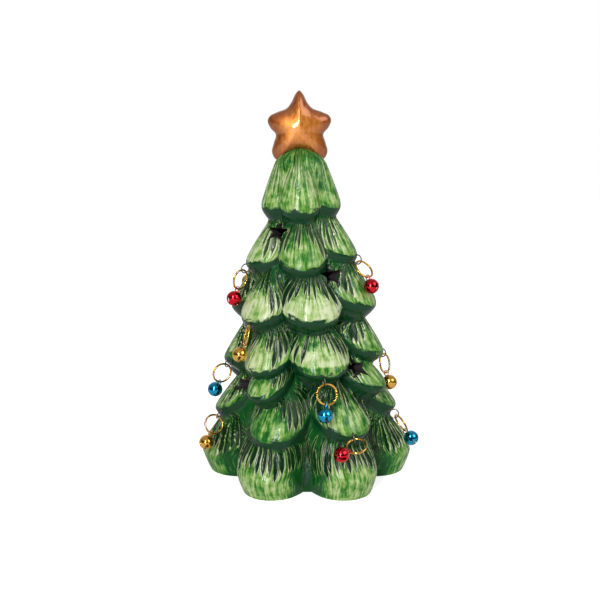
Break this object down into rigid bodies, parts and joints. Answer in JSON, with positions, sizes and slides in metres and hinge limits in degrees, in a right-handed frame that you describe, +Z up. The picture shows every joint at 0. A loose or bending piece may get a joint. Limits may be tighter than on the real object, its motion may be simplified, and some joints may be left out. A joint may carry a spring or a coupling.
{
  "type": "tabletop ceramic tree",
  "caption": "Small hollow ceramic tree with tiered boughs, a star on top, star-shaped windows, hanging jingle bells and a battery light unit in its base.",
  "frame": {"origin": "middle of the outer box, on the surface that the tree stands on", "axes": "+Z up along the tree; the pictured front looks along -Y and +X is to its right"},
  "size_m": [0.0894, 0.0908, 0.1556],
  "materials": {
    "green_glaze": "dry-brushed carved green under a clear glossy glaze",
    "copper_glaze": "copper-gold lustre, glossy",
    "bell_red": "red anodised metal, polished",
    "bell_blue": "blue anodised metal, polished",
    "bell_gold": "gold anodised metal, polished",
    "ring_brass": "bright drawn wire",
    "steel": "plain nickel-plated",
    "contact_brass": "spring leaf, satin",
    "white_plastic": "moulded, satin",
    "frosted_plastic": "frosted, milky",
    "black_plastic": "moulded, satin",
    "board_green": "lacquered board",
    "lamp_clear": "clear epoxy lamp"
  },
  "bodies": {
    "tree": {"tree_body": "green_glaze", "star_topper": "copper_glaze"},
    "light_unit": {"led_housing": "white_plastic", "base_cap": "white_plastic", "circuit_board": "board_green", "led_lamp": "lamp_clear", "light_diffuser": "frosted_plastic", "coin_cell": "steel", "cell_contact": "contact_brass"},
    "battery_door": {"battery_door": "white_plastic", "door_screw": "steel"},
    "switch": {"switch_slider": "black_plastic"},
    "ring_01": {"jump_ring_01": "ring_brass"},
    "bell_01": {"jingle_bell_01": "bell_red"},
    "pellet_01": {"bell_pellet_01": "steel"},
    "ring_02": {"jump_ring_02": "ring_brass"},
    "bell_02": {"jingle_bell_02": "bell_red"},
    "pellet_02": {"bell_pellet_02": "steel"},
    "ring_03": {"jump_ring_03": "ring_brass"},
    "bell_03": {"jingle_bell_03": "bell_gold"},
    "pellet_03": {"bell_pellet_03": "steel"},
    "ring_04": {"jump_ring_04": "ring_brass"},
    "bell_04": {"jingle_bell_04": "bell_blue"},
    "pellet_04": {"bell_pellet_04": "steel"},
    "ring_05": {"jump_ring_05": "ring_brass"},
    "bell_05": {"jingle_bell_05": "bell_gold"},
    "pellet_05": {"bell_pellet_05": "steel"},
    "ring_06": {"jump_ring_06": "ring_brass"},
    "bell_06": {"jingle_bell_06": "bell_blue"},
    "pellet_06": {"bell_pellet_06": "steel"},
    "ring_07": {"jump_ring_07": "ring_brass"},
    "bell_07": {"jingle_bell_07": "bell_gold"},
    "pellet_07": {"bell_pellet_07": "steel"},
    "ring_08": {"jump_ring_08": "ring_brass"},
    "bell_08": {"jingle_bell_08": "bell_blue"},
    "pellet_08": {"bell_pellet_08": "steel"},
    "ring_09": {"jump_ring_09": "ring_brass"},
    "bell_09": {"jingle_bell_09": "bell_red"},
    "pellet_09": {"bell_pellet_09": "steel"},
    "ring_10": {"jump_ring_10": "ring_brass"},
    "bell_10": {"jingle_bell_10": "bell_red"},
    "pellet_10": {"bell_pellet_10": "steel"},
    "ring_11": {"jump_ring_11": "ring_brass"},
    "bell_11": {"jingle_bell_11": "bell_blue"},
    "pellet_11": {"bell_pellet_11": "steel"},
    "ring_12": {"jump_ring_12": "ring_brass"},
    "bell_12": {"jingle_bell_12": "bell_gold"},
    "pellet_12": {"bell_pellet_12": "steel"},
    "ring_13": {"jump_ring_13": "ring_brass"},
    "bell_13": {"jingle_bell_13": "bell_red"},
    "pellet_13": {"bell_pellet_13": "steel"},
    "ring_14": {"jump_ring_14": "ring_brass"},
    "bell_14": {"jingle_bell_14": "bell_gold"},
    "pellet_14": {"bell_pellet_14": "steel"},
    "ring_15": {"jump_ring_15": "ring_brass"},
    "bell_15": {"jingle_bell_15": "bell_blue"},
    "pellet_15": {"bell_pellet_15": "steel"},
    "ring_16": {"jump_ring_16": "ring_brass"},
    "bell_16": {"jingle_bell_16": "bell_gold"},
    "pellet_16": {"bell_pellet_16": "steel"}
  },
  "joints": [
    {"name": "light_unit_pull", "type": "slide", "parent": "tree", "child": "light_unit", "axis": [0, 0, -1], "range_m": [0, 0.036]},
    {"name": "battery_door_lift", "type": "slide", "parent": "light_unit", "child": "battery_door", "axis": [0, 0, -1], "range_m": [0, 0.012]},
    {"name": "switch_slide", "type": "slide", "parent": "light_unit", "child": "switch", "axis": [1, 0, 0], "range_m": [0, 0.004]},
    {"name": "ring_swing_01", "type": "hinge", "parent": "tree", "child": "ring_01", "pos_m": [-0.02629, -0.00739, 0.08469], "axis": [-0.7634, 0.6278, 0.1521], "range_deg": [-5, 60]},
    {"name": "bell_swing_01", "type": "hinge", "parent": "ring_01", "child": "bell_01", "pos_m": [-0.02863, -0.00871, 0.07839], "axis": [-0.5448, -0.7523, 0.3706], "range_deg": [-60, 15]},
    {"name": "pellet_rattle_01", "type": "slide", "parent": "bell_01", "child": "pellet_01", "axis": [0.3433, 0.2032, 0.917], "range_m": [0, 0.0026]},
    {"name": "ring_swing_02", "type": "hinge", "parent": "tree", "child": "ring_02", "pos_m": [0.01992, -0.00945, 0.08885], "axis": [0.5405, -0.4918, 0.6826], "range_deg": [-50, 60]},
    {"name": "bell_swing_02", "type": "hinge", "parent": "ring_02", "child": "bell_02", "pos_m": [0.02276, -0.01321, 0.08389], "axis": [0.7473, 0.6534, -0.1209], "range_deg": [-60, 0]},
    {"name": "pellet_rattle_02", "type": "slide", "parent": "bell_02", "child": "pellet_02", "axis": [-0.3245, 0.5176, 0.7917], "range_m": [0, 0.0026]},
    {"name": "ring_swing_03", "type": "hinge", "parent": "tree", "child": "ring_03", "pos_m": [-0.02394, -0.02175, 0.06537], "axis": [-0.9577, -0.1487, 0.2463], "range_deg": [-20, 60]},
    {"name": "bell_swing_03", "type": "hinge", "parent": "ring_03", "child": "bell_03", "pos_m": [-0.02523, -0.02394, 0.05907], "axis": [0.1961, -0.9639, 0.1803], "range_deg": [-60, 15]},
    {"name": "pellet_rattle_03", "type": "slide", "parent": "bell_03", "child": "pellet_03", "axis": [0.4485, 0.2517, 0.8576], "range_m": [0, 0.0026]},
    {"name": "ring_swing_04", "type": "hinge", "parent": "tree", "child": "ring_04", "pos_m": [-0.03396, -0.0065, 0.04575], "axis": [-0.4946, 0.861, 0.1183], "range_deg": [-15, 60]},
    {"name": "bell_swing_04", "type": "hinge", "parent": "ring_04", "child": "bell_04", "pos_m": [-0.03655, -0.00712, 0.03946], "axis": [-0.802, -0.5046, 0.3197], "range_deg": [-60, 60]},
    {"name": "pellet_rattle_04", "type": "slide", "parent": "bell_04", "child": "pellet_04", "axis": [0.4884, -0.2458, 0.8373], "range_m": [0, 0.0026]},
    {"name": "ring_swing_05", "type": "hinge", "parent": "tree", "child": "ring_05", "pos_m": [0.03003, -0.00426, 0.04941], "axis": [0.8145, -0.5243, 0.2485], "range_deg": [-5, 60]},
    {"name": "bell_swing_05", "type": "hinge", "parent": "ring_05", "child": "bell_05", "pos_m": [0.03138, -0.00529, 0.04278], "axis": [0.5532, 0.8309, -0.0603], "range_deg": [-60, 10]},
    {"name": "pellet_rattle_05", "type": "slide", "parent": "bell_05", "child": "pellet_05", "axis": [-0.3418, 0.2923, 0.8932], "range_m": [0, 0.0026]},
    {"name": "ring_swing_06", "type": "hinge", "parent": "tree", "child": "ring_06", "pos_m": [0.00579, -0.03256, 0.04504], "axis": [0.1974, -0.9306, 0.3081], "range_deg": [-60, 60]},
    {"name": "bell_swing_06", "type": "hinge", "parent": "ring_06", "child": "bell_06", "pos_m": [0.00595, -0.03468, 0.03856], "axis": [0.979, 0.1709, -0.111], "range_deg": [-60, 60]},
    {"name": "pellet_rattle_06", "type": "slide", "parent": "bell_06", "child": "pellet_06", "axis": [0.0535, 0.3102, 0.9492], "range_m": [0, 0.0026]},
    {"name": "ring_swing_07", "type": "hinge", "parent": "tree", "child": "ring_07", "pos_m": [-0.03769, -0.00827, 0.02441], "axis": [-0.4812, 0.781, -0.398], "range_deg": [-15, 60]},
    {"name": "bell_swing_07", "type": "hinge", "parent": "ring_07", "child": "bell_07", "pos_m": [-0.03987, -0.01223, 0.01927], "axis": [-0.8172, -0.2354, 0.526], "range_deg": [-45, 60]},
    {"name": "pellet_rattle_07", "type": "slide", "parent": "bell_07", "child": "pellet_07", "axis": [0.4441, 0.3244, 0.8352], "range_m": [0, 0.0026]},
    {"name": "ring_swing_08", "type": "hinge", "parent": "tree", "child": "ring_08", "pos_m": [0.03631, -0.00404, 0.02338], "axis": [0.7628, -0.1533, 0.6282], "range_deg": [-60, 30]},
    {"name": "bell_swing_08", "type": "hinge", "parent": "ring_08", "child": "bell_08", "pos_m": [0.03953, -0.0075, 0.01863], "axis": [0.5117, 0.7371, -0.4414], "range_deg": [-60, 25]},
    {"name": "pellet_rattle_08", "type": "slide", "parent": "bell_08", "child": "pellet_08", "axis": [-0.536, 0.6754, 0.5065], "range_m": [0, 0.0026]},
    {"name": "ring_swing_09", "type": "hinge", "parent": "tree", "child": "ring_09", "pos_m": [0.01711, -0.03451, 0.0241], "axis": [-0.1475, -0.3856, 0.9108], "range_deg": [-40, 60]},
    {"name": "bell_swing_09", "type": "hinge", "parent": "ring_09", "child": "bell_09", "pos_m": [0.01462, -0.0396, 0.02154], "axis": [0.6953, -0.6953, -0.1818], "range_deg": [-60, 45]},
    {"name": "pellet_rattle_09", "type": "slide", "parent": "bell_09", "child": "pellet_09", "axis": [0.7071, 0.7071, 0], "range_m": [0, 0.0026]},
    {"name": "ring_swing_10", "type": "hinge", "parent": "tree", "child": "ring_10", "pos_m": [-0.02874, 0.01452, 0.02297], "axis": [-0.0757, 0.8052, 0.5882], "range_deg": [-15, 60]},
    {"name": "bell_swing_10", "type": "hinge", "parent": "ring_10", "child": "bell_10", "pos_m": [-0.03306, 0.01738, 0.01849], "axis": [-0.7598, -0.4286, 0.4889], "range_deg": [-60, 25]},
    {"name": "pellet_rattle_10", "type": "slide", "parent": "bell_10", "child": "pellet_10", "axis": [0.6051, -0.191, 0.7729], "range_m": [0, 0.0026]},
    {"name": "ring_swing_11", "type": "hinge", "parent": "tree", "child": "ring_11", "pos_m": [0.01333, 0.01768, 0.08581], "axis": [0.6461, 0.5651, 0.5131], "range_deg": [-10, 60]},
    {"name": "bell_swing_11", "type": "hinge", "parent": "ring_11", "child": "bell_11", "pos_m": [0.01572, 0.02028, 0.07994], "axis": [-0.6797, 0.7317, 0.0501], "range_deg": [-60, 5]},
    {"name": "pellet_rattle_11", "type": "slide", "parent": "bell_11", "child": "pellet_11", "axis": [-0.3912, -0.4195, 0.8192], "range_m": [0, 0.0026]},
    {"name": "ring_swing_12", "type": "hinge", "parent": "tree", "child": "ring_12", "pos_m": [-0.02056, 0.01426, 0.08527], "axis": [-0.5365, 0.6395, 0.5507], "range_deg": [-5, 60]},
    {"name": "bell_swing_12", "type": "hinge", "parent": "ring_12", "child": "bell_12", "pos_m": [-0.02363, 0.01657, 0.07959], "axis": [-0.7116, -0.6936, 0.1122], "range_deg": [-60, 5]},
    {"name": "pellet_rattle_12", "type": "slide", "parent": "bell_12", "child": "pellet_12", "axis": [0.5065, -0.3957, 0.766], "range_m": [0, 0.0026]},
    {"name": "ring_swing_13", "type": "hinge", "parent": "tree", "child": "ring_13", "pos_m": [0.00436, 0.03292, 0.047], "axis": [0.4329, 0.8706, 0.2337], "range_deg": [-20, 60]},
    {"name": "bell_swing_13", "type": "hinge", "parent": "ring_13", "child": "bell_13", "pos_m": [0.00468, 0.03454, 0.04036], "axis": [-0.9003, 0.4308, 0.0626], "range_deg": [-60, 15]},
    {"name": "pellet_rattle_13", "type": "slide", "parent": "bell_13", "child": "pellet_13", "axis": [-0.0462, -0.2375, 0.9703], "range_m": [0, 0.0026]},
    {"name": "ring_swing_14", "type": "hinge", "parent": "tree", "child": "ring_14", "pos_m": [-0.02588, 0.02273, 0.04482], "axis": [-0.5026, 0.8225, 0.2662], "range_deg": [-15, 25]},
    {"name": "bell_swing_14", "type": "hinge", "parent": "ring_14", "child": "bell_14", "pos_m": [-0.02726, 0.02402, 0.03824], "axis": [-0.8407, -0.5368, 0.0713], "range_deg": [-60, 10]},
    {"name": "pellet_rattle_14", "type": "slide", "parent": "bell_14", "child": "pellet_14", "axis": [0.2016, -0.188, 0.9613], "range_m": [0, 0.0026]},
    {"name": "ring_swing_15", "type": "hinge", "parent": "tree", "child": "ring_15", "pos_m": [-0.01929, 0.02457, 0.06491], "axis": [-0.3738, 0.8366, 0.4006], "range_deg": [-55, 60]},
    {"name": "bell_swing_15", "type": "hinge", "parent": "ring_15", "child": "bell_15", "pos_m": [-0.0209, 0.02684, 0.05865], "axis": [-0.897, -0.4359, 0.0734], "range_deg": [-60, 10]},
    {"name": "pellet_rattle_15", "type": "slide", "parent": "bell_15", "child": "pellet_15", "axis": [0.2424, -0.3462, 0.9063], "range_m": [0, 0.0026]},
    {"name": "ring_swing_16", "type": "hinge", "parent": "tree", "child": "ring_16", "pos_m": [0.00716, 0.03483, 0.02329], "axis": [0.255, 0.6624, 0.7044], "range_deg": [-15, 60]},
    {"name": "bell_swing_16", "type": "hinge", "parent": "ring_16", "child": "bell_16", "pos_m": [0.00832, 0.03954, 0.01845], "axis": [-0.9525, 0.2977, 0.0649], "range_deg": [-60, 10]},
    {"name": "pellet_rattle_16", "type": "slide", "parent": "bell_16", "child": "pellet_16", "axis": [-0.1798, -0.7211, 0.6691], "range_m": [0, 0.0026]}
  ]
}
